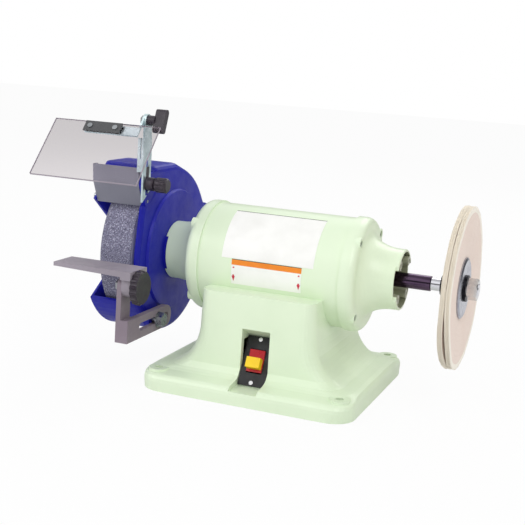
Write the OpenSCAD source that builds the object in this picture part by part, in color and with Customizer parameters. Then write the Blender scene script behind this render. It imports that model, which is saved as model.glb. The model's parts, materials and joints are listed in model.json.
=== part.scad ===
// Bench grinder: a grinding wheel in a cast guard on the left, a cloth buff on the right.
// The spindle lies along X, the operator stands at -Y and the bench is the plane z = 0.

/* [Base] */
// Height of the spindle above the bench
axis_h = 156; // [150:1:166]
// Length of the base along the spindle
base_l = 278; // [270:1:300]
// Depth of the base from front to back
base_d = 274; // [268:1:296]
// Corner radius of the foot
base_r = 30; // [24:1:36]
// Wall of the base casting
base_wall = 8; // [6:0.5:10]
// Height of the foot at its two ends
foot_end_h = 26; // [24:0.5:30]
// Height of the foot at its front and back
foot_side_h = 22; // [20:0.5:23]
// Rounding along the foot's upper edge
foot_edge_r = 10; // [6:0.5:12]
// Radius of the concave sweep of the front panel
panel_r = 240; // [220:1:280]
// Half width of the pedestal under the motor
neck_half_x = 75; // [70:0.5:80]
// Corner radius of the pedestal under the motor
neck_r = 14; // [10:1:18]
// Distance between bench bolts along the spindle
bolt_dx = 240; // [232:1:246]
// Distance between bench bolts from front to back
bolt_dy = 227; // [220:1:232]
// Radius of a bench bolt hole
bolt_hole_r = 5; // [4:0.1:6.5]
// Radius of the boss around a bench bolt hole
bolt_boss_r = 13; // [11:0.5:15]
// Thickness of the sheet bottom cover
cover_t = 1.6; // [1:0.1:2.5]

/* [Motor] */
// Outer radius of the motor shell
shell_r = 71; // [69:0.25:74]
// Wall of the motor shell
shell_wall = 2.5; // [2:0.1:3]
// Half length of the motor shell
shell_half = 94; // [90:0.5:98]
// Step from the motor shell out to the end bell's rim
rim_step = 2.4; // [1.5:0.1:5]
// Width of the end bell's rim
rim_w = 8.5; // [7:0.25:10]
// Distance from the end bell's joint to the face that its screws sit on
boss_reach = 19; // [18:0.25:22]
// Distance of a through bolt inside the motor shell's outer face
bolt_inset = 5.2; // [4.9:0.1:5.4]
// Outer radius of the end bell's snout
snout_r = 38.7; // [36:0.1:41]
// Wall of the end bell's snout
snout_wall = 3; // [2.5:0.1:4]
// Distance from the end bell's joint to the tip of its snout
snout_reach = 64.5; // [62:0.5:68]
// Depth of the cup in the snout
cup_depth = 24; // [20:0.5:26]
// Height of the notch in the snout's rim
notch_h = 45; // [36:1:50]
// Depth of the notch in the snout's rim
notch_d = 4; // [2:0.25:6]
// Half length of the stator and rotor stacks
stack_half = 50; // [44:1:56]
// Radius of the rotor stack
rotor_r = 38; // [36:0.25:40]
// Air gap between rotor and stator
air_gap = 0.5; // [0.4:0.05:0.8]
// Number of stator slots
slot_count = 24; // [18:6:24]

/* [Spindle] */
// Radius of the spindle outside the bearings
spindle_r = 9.525; // [9.2:0.025:9.8]
// Radius of the spindle where wheels are mounted
arbor_r = 7.9375; // [7.5:0.0125:8.2]
// Radius of the bearing seats
journal_r = 10; // [9.85:0.05:10.4]
// Outer radius of a bearing
bearing_r = 23.5; // [22:0.25:25]
// Width of a bearing
bearing_w = 14; // [12:0.5:15]
// Distance across the flats of an arbor nut
nut_flats = 24; // [22:0.5:27]
// Thickness of an arbor nut
nut_t = 13; // [11:0.5:13.5]

/* [Wheels] */
// Radius of the grinding wheel
wheel_r = 101.6; // [92:0.1:102.5]
// Width of the grinding wheel
wheel_w = 44.45; // [30:0.05:45]
// Gap between the guard's hub and the inner wheel flange
flange_gap = 5; // [4:0.25:6]
// Radius of the wheel flanges
wheel_flange_r = 38; // [34:0.5:42]
// Thickness of the wheel flanges
wheel_flange_t = 6; // [4.5:0.25:6.5]
// Radius of the buff
buff_r = 101.6; // [90:0.1:110]
// Thickness of one cloth section of the buff
buff_t = 5.8; // [4:0.1:7]
// Gap between the two cloth sections
buff_gap = 0.8; // [0.6:0.1:2]
// Radius of the buff flanges
buff_flange_r = 38.1; // [34:0.1:42]
// Free length of the right spindle between the snout and the step
spindle_out = 36; // [30:0.5:42]
// Length of the stepped land in front of the buff
land_len = 12; // [10:0.5:15]

/* [Guard] */
// Outer radius of the guard's rim
guard_r = 111; // [110.5:0.1:113]
// Radius of the guard's plate in the front opening
guard_front_r = 107; // [106:0.1:107.5]
// Depth of the guard along the spindle
guard_depth = 73.5; // [72:0.5:76]
// Wall of the guard casting
guard_wall = 4; // [3.5:0.1:4.5]
// Rounding between the guard's plate and rim
guard_round = 9; // [7:0.25:10]
// Step between the guard's hub face and its outer plate
hub_step = 3; // [2:0.1:3.4]
// Radius of the guard's raised hub face
hub_r = 80; // [72:0.5:84]
// Half height of the exhaust spout
spout_half = 45; // [42:0.5:47]
// Distance from the spindle back to the spout's mouth
spout_y = 148; // [142:1:158]
// Height of the visor's flat top above the spindle
visor_top = 117; // [115:0.5:119]
// Distance from the spindle forward to the visor's front wall
visor_y = 67; // [64:0.5:70]
// Height above the spindle at which the visor's front wall ends
visor_end = 87; // [84:0.5:90]
// Upper edge of the opening in the outer cover in degrees above the level
open_up = 37; // [35:0.5:39]
// Lower edge of the wheel opening in degrees below the level
open_down = 33; // [30:0.5:36]
// Thickness of the outer guard cover
shell_cover_t = 3; // [2:0.1:3.5]

/* [Eye shield and deflector] */
// Width of the eye shield
shield_w = 147.5; // [130:0.5:160]
// Length of the eye shield along its slope
shield_l = 88; // [70:0.5:100]
// Thickness of the eye shield
shield_t = 3; // [2:0.1:4]
// Slope of the eye shield in degrees
shield_slope = 48.7; // [44:0.1:54]
// Thickness of the steel arm and bracket
strip_t = 2.5; // [2:0.1:3]
// Thickness of the spark deflector's sheet
deflector_t = 2; // [1.2:0.1:2.5]

/* [Tool rest] */
// Length of the tool rest's table along the spindle
rest_l = 109; // [96:0.5:114]
// Depth of the tool rest's table
rest_d = 44; // [38:0.5:50]
// Thickness of the table at its free end
rest_thin = 5; // [4:0.25:8]
// Thickness of the table at its lug
rest_thick = 11; // [9:0.25:13]
// Height of the slotted arm
arm_h = 29; // [24:0.5:31]
// Thickness of the slotted arm
arm_t = 8; // [6:0.25:9]
// Width of the slot in the arm
arm_slot_w = 10.6; // [10.6:0.1:12]

/* [Switch] */
// Width of the switch plate
switch_w = 35; // [32:0.5:40]
// Length of the switch plate
switch_h = 64; // [58:0.5:68]
// Width of the rocker
rocker_w = 20; // [18:0.25:22]
// Length of the rocker
rocker_h = 30; // [26:0.5:32]
// Width of the safety key
key_w = 15; // [12:0.5:16]

/* [Hidden] */
// Running clearance between a turning part and its hole, on the radius
run = 0.05;
// Clearance between parts that slide or pass each other
slip = 0.3;
round_fn = 96;
small_fn = 40;

// Base
base_top = axis_h - 26;
base_half_x = base_l / 2;
base_half_y = base_d / 2;
base_bolts = [for (i = [-1, 1]) for (j = [-1, 1]) [i * bolt_dx / 2, j * bolt_dy / 2]];
neck_half_y = 67.5;
flare_top = 88;
panel_lean = 8;
foot_fillet = 14;
saddle_t = 12;
cavity_top = axis_h - shell_r - saddle_t;
cover_half = [106, 105];
cavity_half = [100, 99];
cover_z = 3;
cover_r = 12;
cover_screws = [for (i = [-1, 1]) for (j = [-1, 1]) [i * 70, j * (cover_half[1] - 3.5)]];
cover_screw_len = 11;
fillet_top = foot_side_h + foot_fillet;
flare_a = asin((flare_top - fillet_top) / (flare_top - foot_end_h));
// Heights at which the casting's skin has a ring: neck, flare, fillet, step of the foot and its edge
base_levels = concat(
    [for (i = [0:4]) base_top - (base_top - flare_top) * i / 4],
    [for (i = [1:7]) flare_top - (flare_top - foot_end_h) * sin(flare_a * i / 7)],
    [for (i = [1:4]) fillet_top - (fillet_top - foot_end_h) * i / 4],
    [for (i = [1:2]) foot_end_h - (foot_end_h - foot_side_h) * i / 2],
    [for (i = [1:4]) foot_side_h - foot_edge_r * (1 - cos(22.5 * i))], [0]);
cap_r = 20;
cap_l = 80;
cap_y = 34;
cap_z = 34;
cord_x = -45;
cord_z = 46;
cord_r = 8;

// Motor, measured from the middle of the machine
rim_r = shell_r + rim_step;
bolt_circle_r = shell_r - bolt_inset;
joint_x = shell_half;
face_x = joint_x + boss_reach;
snout_x = joint_x + snout_reach;
spigot_len = 5;
spigot_r = shell_r - shell_wall - run;
bell_bore = shell_r - 9.5;
brow_r = shell_r - 6;
throat_r = shell_r - 11;
bearing_x = joint_x + 17;
bearing_out = bearing_x + bearing_w;
snout_len = 8.5;
shaft_hole_r = 12;
boss_r = rim_r - bolt_circle_r;
head_recess = 5;
head_r = 4.3;
bolt_rod_r = 2.4;
stator_bore = rotor_r + air_gap;
slot_w = 5.4;
slot_in = 41;
slot_out = 56;
winding_len = 22;
rotor_seat_r = 11;
guard_screw_circle = 30;
guard_screw_boss = 6;
guard_screw_r = 2.4;
stud_angles = [45, 135, 225, 315];
motor_bolt_x = 61;
motor_bolt_r = 4;
ball_r = 2.9;
inner_race_r = 14.2;
outer_race_r = inner_race_r + 2 * ball_r;
label_t = 0.4;
rating_half = 61;
rating_arc = [170, 111];
notice_half = 46.5;
notice_arc = [170.5, 196.5];
rod_way_r = 3.2;

// Guard and wheel, measured along -X
hub_x = snout_x;
plate_x = hub_x + hub_step;
cover_x = hub_x + guard_depth;
hub_inner_x = hub_x + guard_wall;
wheel_flange_x = hub_inner_x + flange_gap;
wheel_x = wheel_flange_x + wheel_flange_t;
wheel_end = wheel_x + wheel_w;
wheel_nut_x = wheel_end + wheel_flange_t;
left_end = wheel_nut_x + nut_t + 2;
dome_r = 34;
dome_x = left_end + shell_cover_t + 1.5;

// Buff, measured along +X
step_x = snout_x + spindle_out;
jam_x = step_x + land_len;
jam_t = 12.5;
buff_flange_x = jam_x + jam_t;
buff_flange_t = 10;
buff_x = buff_flange_x + buff_flange_t;
buff_hub_t = 2;
buff_mid = buff_x + buff_hub_t;
buff_out = buff_mid + buff_hub_t;
dish_t = 3.2;
washer_t = 2.8;
buff_nut_x = buff_out + dish_t + washer_t;
right_end = buff_nut_x + nut_t + 1;

// Guard outline, as (y, height above the spindle)
visor_round = 10;
spout_fillet = 40;
spout_cz = spout_half + spout_fillet;
spout_cy = sqrt(pow(guard_r + spout_fillet, 2) - pow(spout_cz, 2));
spout_a = atan2(spout_cz, spout_cy);
crown_r = 30;
crown_a = acos(guard_r / visor_top);
crown_y = (guard_r - crown_r - (visor_top - crown_r) * cos(crown_a)) / sin(crown_a);
jaw = [-visor_y - 30, visor_end - 18];
jaw_a = 90 + atan2(visor_end - jaw[1], -visor_y - jaw[0]);
jaw_n = [cos(jaw_a), sin(jaw_a)];
nook_r = 4;
nook = [-visor_y - nook_r,
    (jaw_n * [-visor_y, visor_end] + nook_r + jaw_n[0] * (visor_y + nook_r)) / jaw_n[1]];
front_a = atan2(jaw[1], jaw[0]) + acos(guard_front_r / norm(jaw));
front_n = [cos(front_a), sin(front_a)];
jaw_c = jaw - visor_round * (jaw_n + front_n) / (1 + jaw_n * front_n);
lip_x = plate_x + guard_wall + 1;
ear_top = 110;
ear_r = 9.5;
cover_boss_r = 5.5;
cover_bosses = [[12 - visor_y, visor_top - 11], [103, spout_half + 2], [103, -spout_half - 2]];
cover_screw_r = 2;
rest_boss_r = 12;
guard_bore = 20;
lug_slip = 0.5;
open_inner_r = 46;

// Spark deflector: its sheet runs down from the top, bends, and ends in front of the wheel
deflector_top = [-visor_y - 36, 116.5];
deflector_bend = [-visor_y - 34, 94];
deflector_foot = [-visor_y - 21, 67];
deflector_dir = [0.434, -0.901];
deflector_lip = 14;
deflector_x0 = lip_x + 0.2;
deflector_x1 = cover_x - 0.2;
deflector_screw = [-visor_y - 17.3, 73.2];
deflector_up = 6;
deflector_down = 2;
deflector_screw_r = 2;

// Shield arm: pivot on the guard's ear and pivot of the shield
arm_pivot = [-visor_y - 26, 97];
shield_pivot = [-visor_y - 29, 176.5];
web_x = plate_x;
web_front = -visor_y - 37.2;
web_back = -visor_y - 17;
flange_w = 8;
flange_foot = 112;
flange_slit = 1.8;
guide_w = 8;
guide_l = 26;
guide_travel = 10;
spacer_len = 11;
spacer_r = 8.5;
stud_r = 3;
neck_len = 2.5;
arm_knob_r = 9.5;
arm_knob_len = 16;
pivot_r = 8;
wing_half = 15.5;
wing_t = 9;
wing_hub_r = 6.5;
wing_hub_len = 10.5;
wing_len = 13;
wing_bite = 8;
wing_turn = 70;

// Shield, hung from its back edge
shield_back = [shield_pivot[0] - 17, shield_pivot[1] - 5.6];
shield_x0 = hub_x - 24;
strip_len = 51;
strip_w = 15;
shield_strip_x = shield_x0 + 50.5;
rivet_inset = 8;
ear_back = 8;
ear_gap = 0.6;

// Tool rest and its arm
arm_x = hub_x - 2;
arm_z = -83.5;
arm_bolt = [-64, arm_z];
slot_front = -118;
slot_back = -35;
arm_front = -150;
arm_end = 9;
rest_x0 = hub_x - 14;
rest_top = -5.5;
rest_back = -111.5;
rest_front = rest_back - rest_d;
rest_pivot = [-138, -27];
lug_x = rest_x0 + 2.5;
lug_t = 12;
lug_r = 13;
upright_x = lug_x + lug_t;
upright_t = 6.5;
upright_r = 12.5;
rest_stud_r = 4;
rest_mid = 7.5;
rest_washer_t = 3;
rest_washer_r = 9.5;
rest_knob_r = 22;
rest_knob_len = 9.5;
rest_bite = 6;
arm_bolt_r = 5;
arm_bolt_head = 7;

// Switch
switch_x = 3;
switch_z = 47;
switch_y = -92.5;
switch_lean = 28;
switch_t = 3;
switch_depth = 26;
switch_body_w = 28;
switch_body_h = 50;
rocker_play = 0.4;
rocker_pivot = 4.5;
rocker_pin_r = 1;
key_h = 13;
key_out = 11;

// ---- Shared shapes ----

// Point at radius r and angle a
function polar(r, a) = r * [cos(a), sin(a)];

// Straight round rod along X, at p = (y, z above the spindle)
module rod(x0, x1, r, p = [0, 0], fn = small_fn) {
    translate([min(x0, x1), p[0], axis_h + p[1]])
        rotate([0, 90, 0]) cylinder(h = abs(x1 - x0), r = r, $fn = fn);
}

// Tube along X
module tube(x0, x1, r, bore, p = [0, 0], fn = small_fn) {
    difference() {
        rod(x0, x1, r, p, fn);
        rod(min(x0, x1) - 1, max(x0, x1) + 1, bore, p, fn);
    }
}

// Hexagon along X, with flats at top and bottom
module hexagon(x0, x1, flats, p = [0, 0]) {
    translate([min(x0, x1), p[0], axis_h + p[1]])
        rotate([0, 90, 0]) cylinder(h = abs(x1 - x0), r = flats / sqrt(3), $fn = 6);
}

// Revolves points given as [x, radius] about the spindle
module turned(points) {
    translate([0, 0, axis_h]) rotate([0, 90, 0])
        rotate_extrude($fn = round_fn) polygon([for (p = points) [p[1], p[0]]]);
}

// Extrudes a (y, height above spindle) shape along X
module along_x(x0, x1) {
    translate([min(x0, x1), 0, axis_h]) rotate([90, 0, 90]) linear_extrude(abs(x1 - x0)) children();
}

// Points of an arc about a centre, from angle a to angle b
function arc(c, r, a, b, n) =
    [for (i = [0:n]) c + polar(r, a + (b - a) * i / n)];

// Rounded rectangle as points, n steps a corner
function ring(hx, hy, r, n) = concat(
    arc([hx - r, hy - r], r, 0, 90, n), arc([r - hx, hy - r], r, 90, 180, n),
    arc([r - hx, r - hy], r, 180, 270, n), arc([hx - r, r - hy], r, 270, 360, n));

// Skin over stacked rings of equally many 3D points
module skin(rings) {
    n = len(rings[0]);
    m = len(rings);
    polyhedron(
        points = [for (r = rings) each r],
        faces = concat(
            [[for (i = [n - 1:-1:0]) i]],
            [for (k = [0:m - 2]) for (i = [0:n - 1]) [k * n + i, k * n + (i + 1) % n, (k + 1) * n + i]],
            [for (k = [0:m - 2]) for (i = [0:n - 1])
                [k * n + (i + 1) % n, (k + 1) * n + (i + 1) % n, (k + 1) * n + i]],
            [[for (i = [0:n - 1]) (m - 1) * n + i]]),
        convexity = 6);
}

// ---- Base ----

// Depth of the sweeping front panel at height z
function panel(z) = neck_half_y + tan(panel_lean) * (base_top - z) + pow(base_top - z, 2) / (2 * panel_r);

// Share of the way along a quarter ellipse
function quarter(s) = 1 - sqrt(max(0, 1 - s * s));

// Half length of the casting at height z
function half_x(z) = z >= flare_top ? neck_half_x + 2 * (base_top - z) / (base_top - flare_top)
    : z >= foot_end_h ? neck_half_x + 2 + (base_half_x - foot_edge_r - neck_half_x - 2)
        * quarter((flare_top - z) / (flare_top - foot_end_h))
    : base_half_x - foot_edge_r * quarter(1 - min(1, (foot_end_h - z) / foot_edge_r));

// Half depth of the casting at height z
function half_y(z) = z >= foot_side_h ? max(panel(z), panel(fillet_top)
        + (base_half_y - foot_edge_r - panel(fillet_top)) * quarter(max(0, (fillet_top - z) / foot_fillet)))
    : base_half_y - foot_edge_r * quarter(1 - min(1, (foot_side_h - z) / foot_edge_r));

// Corner radius of the casting at height z
function corner(z) = neck_r + (base_r - neck_r) * pow((base_top - z) / base_top, 2);

// Ring of the casting at height z
function base_ring(z) = [for (p = ring(half_x(z), half_y(z), corner(z), 6)) [p[0], p[1], z]];

// Ring of the hollow at height z
function cavity_ring(z) = [for (p = ring(min(cavity_half[0], half_x(z) - base_wall),
    min(cavity_half[1], half_y(z) - base_wall), max(6, corner(z) - base_wall / 2), 4)) [p[0], p[1], z]];

// Plain plate with rounded corners, hx by hy each way from the middle
module pad(hx, hy, r, z, h) {
    translate([0, 0, z]) linear_extrude(h) polygon(ring(hx, hy, r, 8));
}

// Frame of the switch: x across, y into the base, z up the plate
module at_switch() {
    translate([switch_x, switch_y, switch_z]) rotate([-switch_lean, 0, 0]) children();
}

// Point of the switch plane, d above the middle, e into the base
function switch_point(d, e) = [switch_y + d * sin(switch_lean) + e * cos(switch_lean),
    switch_z + d * cos(switch_lean) - e * sin(switch_lean)];

// Block centred on x and z of the switch frame
module switch_block(w, h, y0, y1, z = 0) {
    translate([-w / 2, y0, z - h / 2]) cube([w, y1 - y0, h]);
}

// Opening of the recess for the switch plate: square to the plate above it, level below it
module switch_recess() {
    half = switch_h / 2 + 1;
    foot = switch_point(-half, switch_t);
    crest = switch_point(half, -base_wall * 5);
    translate([switch_x - switch_w / 2 - 1, 0, 0]) rotate([90, 0, 90]) linear_extrude(switch_w + 2)
        polygon([switch_point(half, switch_t), foot, [-base_half_y - 20, foot[1]],
            [-base_half_y - 20, crest[1]], crest]);
}

// Upright cylinder at (x, y)
module post(p, z0, z1, r, fn = small_fn) {
    translate([p[0], p[1], z0]) cylinder(h = z1 - z0, r = r, $fn = fn);
}

module base_casting() {
    color("#d4e8cb") difference() {
        union() {
            skin([for (z = base_levels) base_ring(z)]);
            for (p = base_bolts) post(p, 0, foot_end_h - 1, bolt_boss_r);
        }
        rod(-neck_half_x - 10, neck_half_x + 10, shell_r, fn = round_fn);
        skin([for (i = [0:10]) cavity_ring(cavity_top * (1 - sin(9 * i)))]);
        pad(cover_half[0] + slip, cover_half[1] + slip, cover_r, -1, cover_z + cover_t + 1);
        for (p = base_bolts) post(p, -1, foot_end_h + 1, bolt_hole_r);
        for (p = cover_screws) post(p, 0, cover_z + cover_screw_len + 1, bolt_rod_r + run);
        for (i = [-1, 1])
            post([i * motor_bolt_x, 0], cavity_top - 1, axis_h - shell_r + 1, motor_bolt_r + run);
        switch_recess();
        at_switch() {
            switch_block(switch_body_w + 1, switch_body_h + 1, 0, switch_depth + 5);
            for (i = [-1, 1]) translate([0, 0, i * (switch_h / 2 - 4)])
                rotate([-90, 0, 0]) cylinder(h = 11.5, r = 1.5 + run, $fn = small_fn);
        }
        translate([cord_x, 60, cord_z]) rotate([-90, 0, 0])
            cylinder(h = 60, r = cord_r + run, $fn = small_fn);
        translate([cord_x, panel(cord_z) + 4, cord_z]) rotate([-90, 0, 0])
            cylinder(h = 20, r = cord_r + 3 + slip, $fn = small_fn);
    }
}

module bottom_cover() {
    color("#8a8f88") difference() {
        pad(cover_half[0], cover_half[1], cover_r, cover_z, cover_t);
        for (p = cover_screws) post(p, 0, 9, bolt_rod_r + slip);
        for (i = [-2:2]) translate([i * 12 - 2, -60, 0]) cube([4, 50, 9]);
    }
}

module bottom_cover_screws() {
    color("#b9bcbb") for (p = cover_screws) {
        post(p, cover_z, cover_z + cover_screw_len, bolt_rod_r);
        difference() {
            post(p, cover_z - 2, cover_z, 2.9);
            translate([p[0] - 3, p[1] - 0.5, cover_z - 3]) cube([6, 1, 2]);
        }
    }
}

module motor_bolts() {
    nut_z = axis_h - sqrt(pow(shell_r - shell_wall, 2) - 64);
    color("#8f9397") for (i = [-1, 1]) {
        post([i * motor_bolt_x, 0], cavity_top, nut_z + 7, motor_bolt_r);
        post([i * motor_bolt_x, 0], cavity_top - 5.5, cavity_top, 7.5, 6);
        post([i * motor_bolt_x, 0], nut_z, nut_z + 5.5, 7.5, 6);
    }
}

module capacitor() {
    color("#2c2d2f") difference() {
        union() {
            translate([-cap_l / 2, cap_y, cap_z]) rotate([0, 90, 0]) cylinder(h = cap_l, r = cap_r, $fn = 64);
            for (i = [-1, 1]) translate([cap_l / 2, cap_y - 1 + i * 8, cap_z - 4]) cube([9, 2, 8]);
        }
        translate([cap_l / 2 - 2, cap_y - 0.6, cap_z - 14]) cube([9, 1.2, 28]);
    }
}

module capacitor_clamp() {
    color("#9da2a3") difference() {
        union() {
            translate([-10, cap_y - 12, cover_z + cover_t]) cube([20, 24, cap_z - cap_r]);
            translate([-10, cap_y, cap_z]) rotate([0, 90, 0]) cylinder(h = 20, r = cap_r + 1.8, $fn = 64);
        }
        translate([-11, cap_y, cap_z]) rotate([0, 90, 0]) cylinder(h = 22, r = cap_r + run, $fn = 64);
    }
}

module cord_bushing() {
    y0 = panel(cord_z) - base_wall - 4;
    color("#26272a") translate([cord_x, 0, cord_z]) rotate([-90, 0, 0]) difference() {
        union() {
            translate([0, 0, y0]) cylinder(h = base_wall + 14, r = cord_r, $fn = small_fn);
            translate([0, 0, panel(cord_z) + 4]) cylinder(h = 5, r = cord_r + 3, $fn = small_fn);
        }
        translate([0, 0, y0 - 1]) cylinder(h = base_wall + 20, r = 4, $fn = small_fn);
    }
}

// ---- Switch ----

// The pin that the rocker tips on, or its hole, which crosses the switch's cavity
module rocker_pin(r) {
    translate([-rocker_w / 2 - 1, rocker_pivot, 0]) rotate([0, 90, 0])
        cylinder(h = rocker_w + 2, r = r, $fn = small_fn);
}

module switch_housing() {
    color("#1e1f21") at_switch() {
        difference() {
            switch_block(switch_body_w, switch_body_h, switch_t, switch_t + switch_depth);
            switch_block(rocker_w + rocker_play, rocker_h + 1, switch_t - 1, switch_t + 14);
        }
        rocker_pin(rocker_pin_r);
    }
}

module switch_plate() {
    color("#1c1c1f") at_switch() difference() {
        switch_block(switch_w, switch_h, 0, switch_t);
        switch_block(rocker_w + rocker_play, rocker_h + 1, -1, switch_t + 1);
        for (i = [-1, 1]) translate([0, -1, i * (switch_h / 2 - 4)])
            rotate([-90, 0, 0]) cylinder(h = 9, r = 1.5 + run, $fn = small_fn);
    }
}

module switch_screws() {
    color("#d8dadb") at_switch() for (i = [-1, 1]) translate([0, 0, i * (switch_h / 2 - 4)])
        rotate([-90, 0, 0]) {
            cylinder(h = 11, r = 1.5, $fn = small_fn);
            translate([0, 0, -1.2]) cylinder(h = 1.2, r = 2.6, $fn = small_fn);
        }
}

module switch_rocker() {
    color("#c01f26") at_switch() difference() {
        translate([-rocker_w / 2, 0, 0]) rotate([90, 0, 90]) linear_extrude(rocker_w) polygon([
            [-3, rocker_h / 2 - 1], [-1, 2], [-1, -2], [-1, 1 - rocker_h / 2],
            [7, 2 - rocker_h / 2], [11, -3], [11, 3], [7, rocker_h / 2 - 2]]);
        switch_block(key_w - 3.4, 4.6, -5, 5, -4);
        rocker_pin(rocker_pin_r + run);
    }
}

module safety_key() {
    color("#f2c81c") at_switch() {
        switch_block(key_w + 3, key_h, -1 - key_out, -1.1, -4);
        switch_block(key_w - 4, 4, -2, 4, -4);
    }
}

// ---- Motor ----

module motor_shell() {
    color("#d4e8cb") difference() {
        tube(-joint_x, joint_x, shell_r, shell_r - shell_wall, fn = round_fn);
        for (i = [-1, 1]) post([i * motor_bolt_x, 0], axis_h - shell_r - 1, axis_h - 50, motor_bolt_r + run);
    }
}

module stator_core() {
    color("#6d7072") difference() {
        rod(-stack_half, stack_half, spigot_r, fn = round_fn);
        rod(-stack_half - 1, stack_half + 1, stator_bore, fn = round_fn);
        for (a = stud_angles) rod(-stack_half - 1, stack_half + 1, rod_way_r,
            polar(bolt_circle_r, a));
        for (i = [0:slot_count - 1]) translate([0, 0, axis_h]) rotate([(i + 0.5) * 360 / slot_count, 0, 0]) {
            translate([-stack_half - 1, slot_in, -slot_w / 2])
                cube([2 * stack_half + 2, slot_out - slot_in, slot_w]);
            translate([-stack_half - 1, stator_bore - 2, -1.1]) cube([2 * stack_half + 2, 6, 2.2]);
        }
    }
}

module stator_windings() {
    color("#a5552a") {
        for (s = [-1, 1]) turned([[s * stack_half, 42], [s * (stack_half + 4), 40.5],
            [s * (stack_half + winding_len - 4), 41], [s * (stack_half + winding_len), 45],
            [s * (stack_half + winding_len), 53], [s * (stack_half + winding_len - 4), 57],
            [s * (stack_half + 5), 57], [s * stack_half, 54]]);
        for (i = [0:slot_count - 1]) translate([0, 0, axis_h]) rotate([(i + 0.5) * 360 / slot_count, 0, 0])
            translate([-stack_half - 1, slot_in + 1.5, 0.3 - slot_w / 2])
                cube([2 * stack_half + 2, slot_out - slot_in - 2, slot_w - 0.6]);
    }
}

// Profile of an end bell as [distance from the middle, radius]
function bell_profile() = concat(
    [[joint_x - spigot_len, bell_bore], [joint_x - spigot_len, spigot_r], [joint_x, spigot_r],
        [joint_x, rim_r]],
    [for (i = [0:6]) [joint_x + rim_w + (boss_reach - rim_w) * sin(15 * i),
        rim_r - (rim_r - brow_r) * quarter(sin(15 * i))]],
    [for (i = [0:12]) [snout_x - snout_len - (snout_reach - boss_reach - snout_len) * cos(7.5 * i),
        throat_r - (throat_r - snout_r) * sin(7.5 * i)]],
    [[snout_x - 1, snout_r], [snout_x, snout_r - 1], [snout_x, snout_r - snout_wall],
        [snout_x - cup_depth, snout_r - snout_wall], [snout_x - cup_depth, shaft_hole_r],
        [bearing_out, shaft_hole_r], [bearing_out, bearing_r],
        [bearing_x, bearing_r], [bearing_x, bearing_r + 6], [bearing_x + 8, bearing_r + 6.5],
        [bearing_x + 8, bearing_r + 12], [joint_x + 11, 53], [joint_x + 5, bell_bore]]);

// End bell on the side s
module end_bell(s) {
    difference() {
        union() {
            turned([for (p = bell_profile()) [s * p[0], p[1]]]);
            for (a = stud_angles) {
                rod(s * joint_x, s * face_x, boss_r, polar(bolt_circle_r, a));
                rod(s * (snout_x - cup_depth - 1), s * snout_x, guard_screw_boss,
                    polar(guard_screw_circle, a));
            }
        }
        for (a = stud_angles) {
            rod(s * (joint_x - spigot_len - 1), s * joint_x, rod_way_r, polar(bolt_circle_r, a));
            rod(s * (joint_x - 1), s * face_x, bolt_rod_r + run, polar(bolt_circle_r, a));
            rod(s * (face_x - head_recess), s * (face_x + 1), head_r + 0.4,
                polar(bolt_circle_r, a));
            rod(s * (snout_x - 12), s * (snout_x + 1), guard_screw_r + run,
                polar(guard_screw_circle, a));
        }
        for (i = [-1, 1]) translate([s * snout_x - notch_d, i * (snout_r - 1) - 6, axis_h - notch_h / 2])
            cube([2 * notch_d, 12, notch_h]);
    }
}

module left_end_bell() { color("#d4e8cb") end_bell(-1); }

module right_end_bell() { color("#d4e8cb") end_bell(1); }

module through_bolts() {
    x = face_x - head_recess;
    color("#3a3c3e") for (a = stud_angles) difference() {
        union() {
            rod(-x, x, bolt_rod_r, polar(bolt_circle_r, a));
            for (s = [-1, 1]) rod(s * x, s * (x + 3.5), head_r, polar(bolt_circle_r, a));
        }
        translate([x + 2, bolt_circle_r * cos(a) - 4, axis_h + bolt_circle_r * sin(a) - 0.6])
            cube([3, 8, 1.2]);
    }
}

// Film plate bent round the shell between two angles
module film(half, between) {
    color("#f2f2ef") intersection() {
        tube(-half, half, shell_r + label_t, shell_r + run, fn = round_fn);
        along_x(-half, half) polygon([[0, 0], for (a = between) polar(2 * shell_r, a)]);
    }
}

module rating_plate() { film(rating_half, rating_arc); }

module notice_plate() { film(notice_half, notice_arc); }

// ---- Spindle and bearings ----

module bearing_outer_rings() {
    color("#b4b7b9") for (s = [-1, 1])
        tube(s * bearing_x, s * bearing_out, bearing_r, outer_race_r, fn = round_fn);
}

module bearing_inner_rings() {
    color("#b4b7b9") for (s = [-1, 1])
        tube(s * bearing_x, s * bearing_out, inner_race_r, journal_r, fn = round_fn);
}

module bearing_balls() {
    color("#d5d8da") for (s = [-1, 1]) for (i = [0:7])
        translate([s * (bearing_x + bearing_w / 2), (inner_race_r + ball_r) * cos(45 * i),
            axis_h + (inner_race_r + ball_r) * sin(45 * i)]) sphere(r = ball_r - run, $fn = 24);
}

module spindle() {
    color("#55565c") turned([[-left_end, 0], [-left_end, arbor_r - 1], [1 - left_end, arbor_r],
        [-wheel_flange_x, arbor_r], [-wheel_flange_x, spindle_r], [-bearing_out, spindle_r],
        [-bearing_out, journal_r], [-bearing_x, journal_r], [-bearing_x, 12.5], [-stack_half - 6, 12.5],
        [-stack_half - 6, rotor_seat_r], [bearing_x, rotor_seat_r], [bearing_x, journal_r],
        [bearing_out, journal_r], [bearing_out, spindle_r], [step_x - 1, spindle_r], [step_x, arbor_r],
        [right_end - 1, arbor_r], [right_end, arbor_r - 1], [right_end, 0]]);
}

module rotor_core() {
    color("#77797b") tube(-stack_half, stack_half, rotor_r, rotor_seat_r, fn = round_fn);
}

module rotor_end_rings() {
    color("#b9bcbb") for (s = [-1, 1]) {
        tube(s * stack_half, s * (stack_half + 6), rotor_r - 1, 24, fn = round_fn);
        for (i = [0:8]) translate([0, 0, axis_h]) rotate([40 * i, 0, 0])
            translate([min(s * (stack_half + 5), s * (stack_half + 15)), 26, -1.2]) cube([10, 10, 2.4]);
    }
}

// ---- Guard ----

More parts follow.
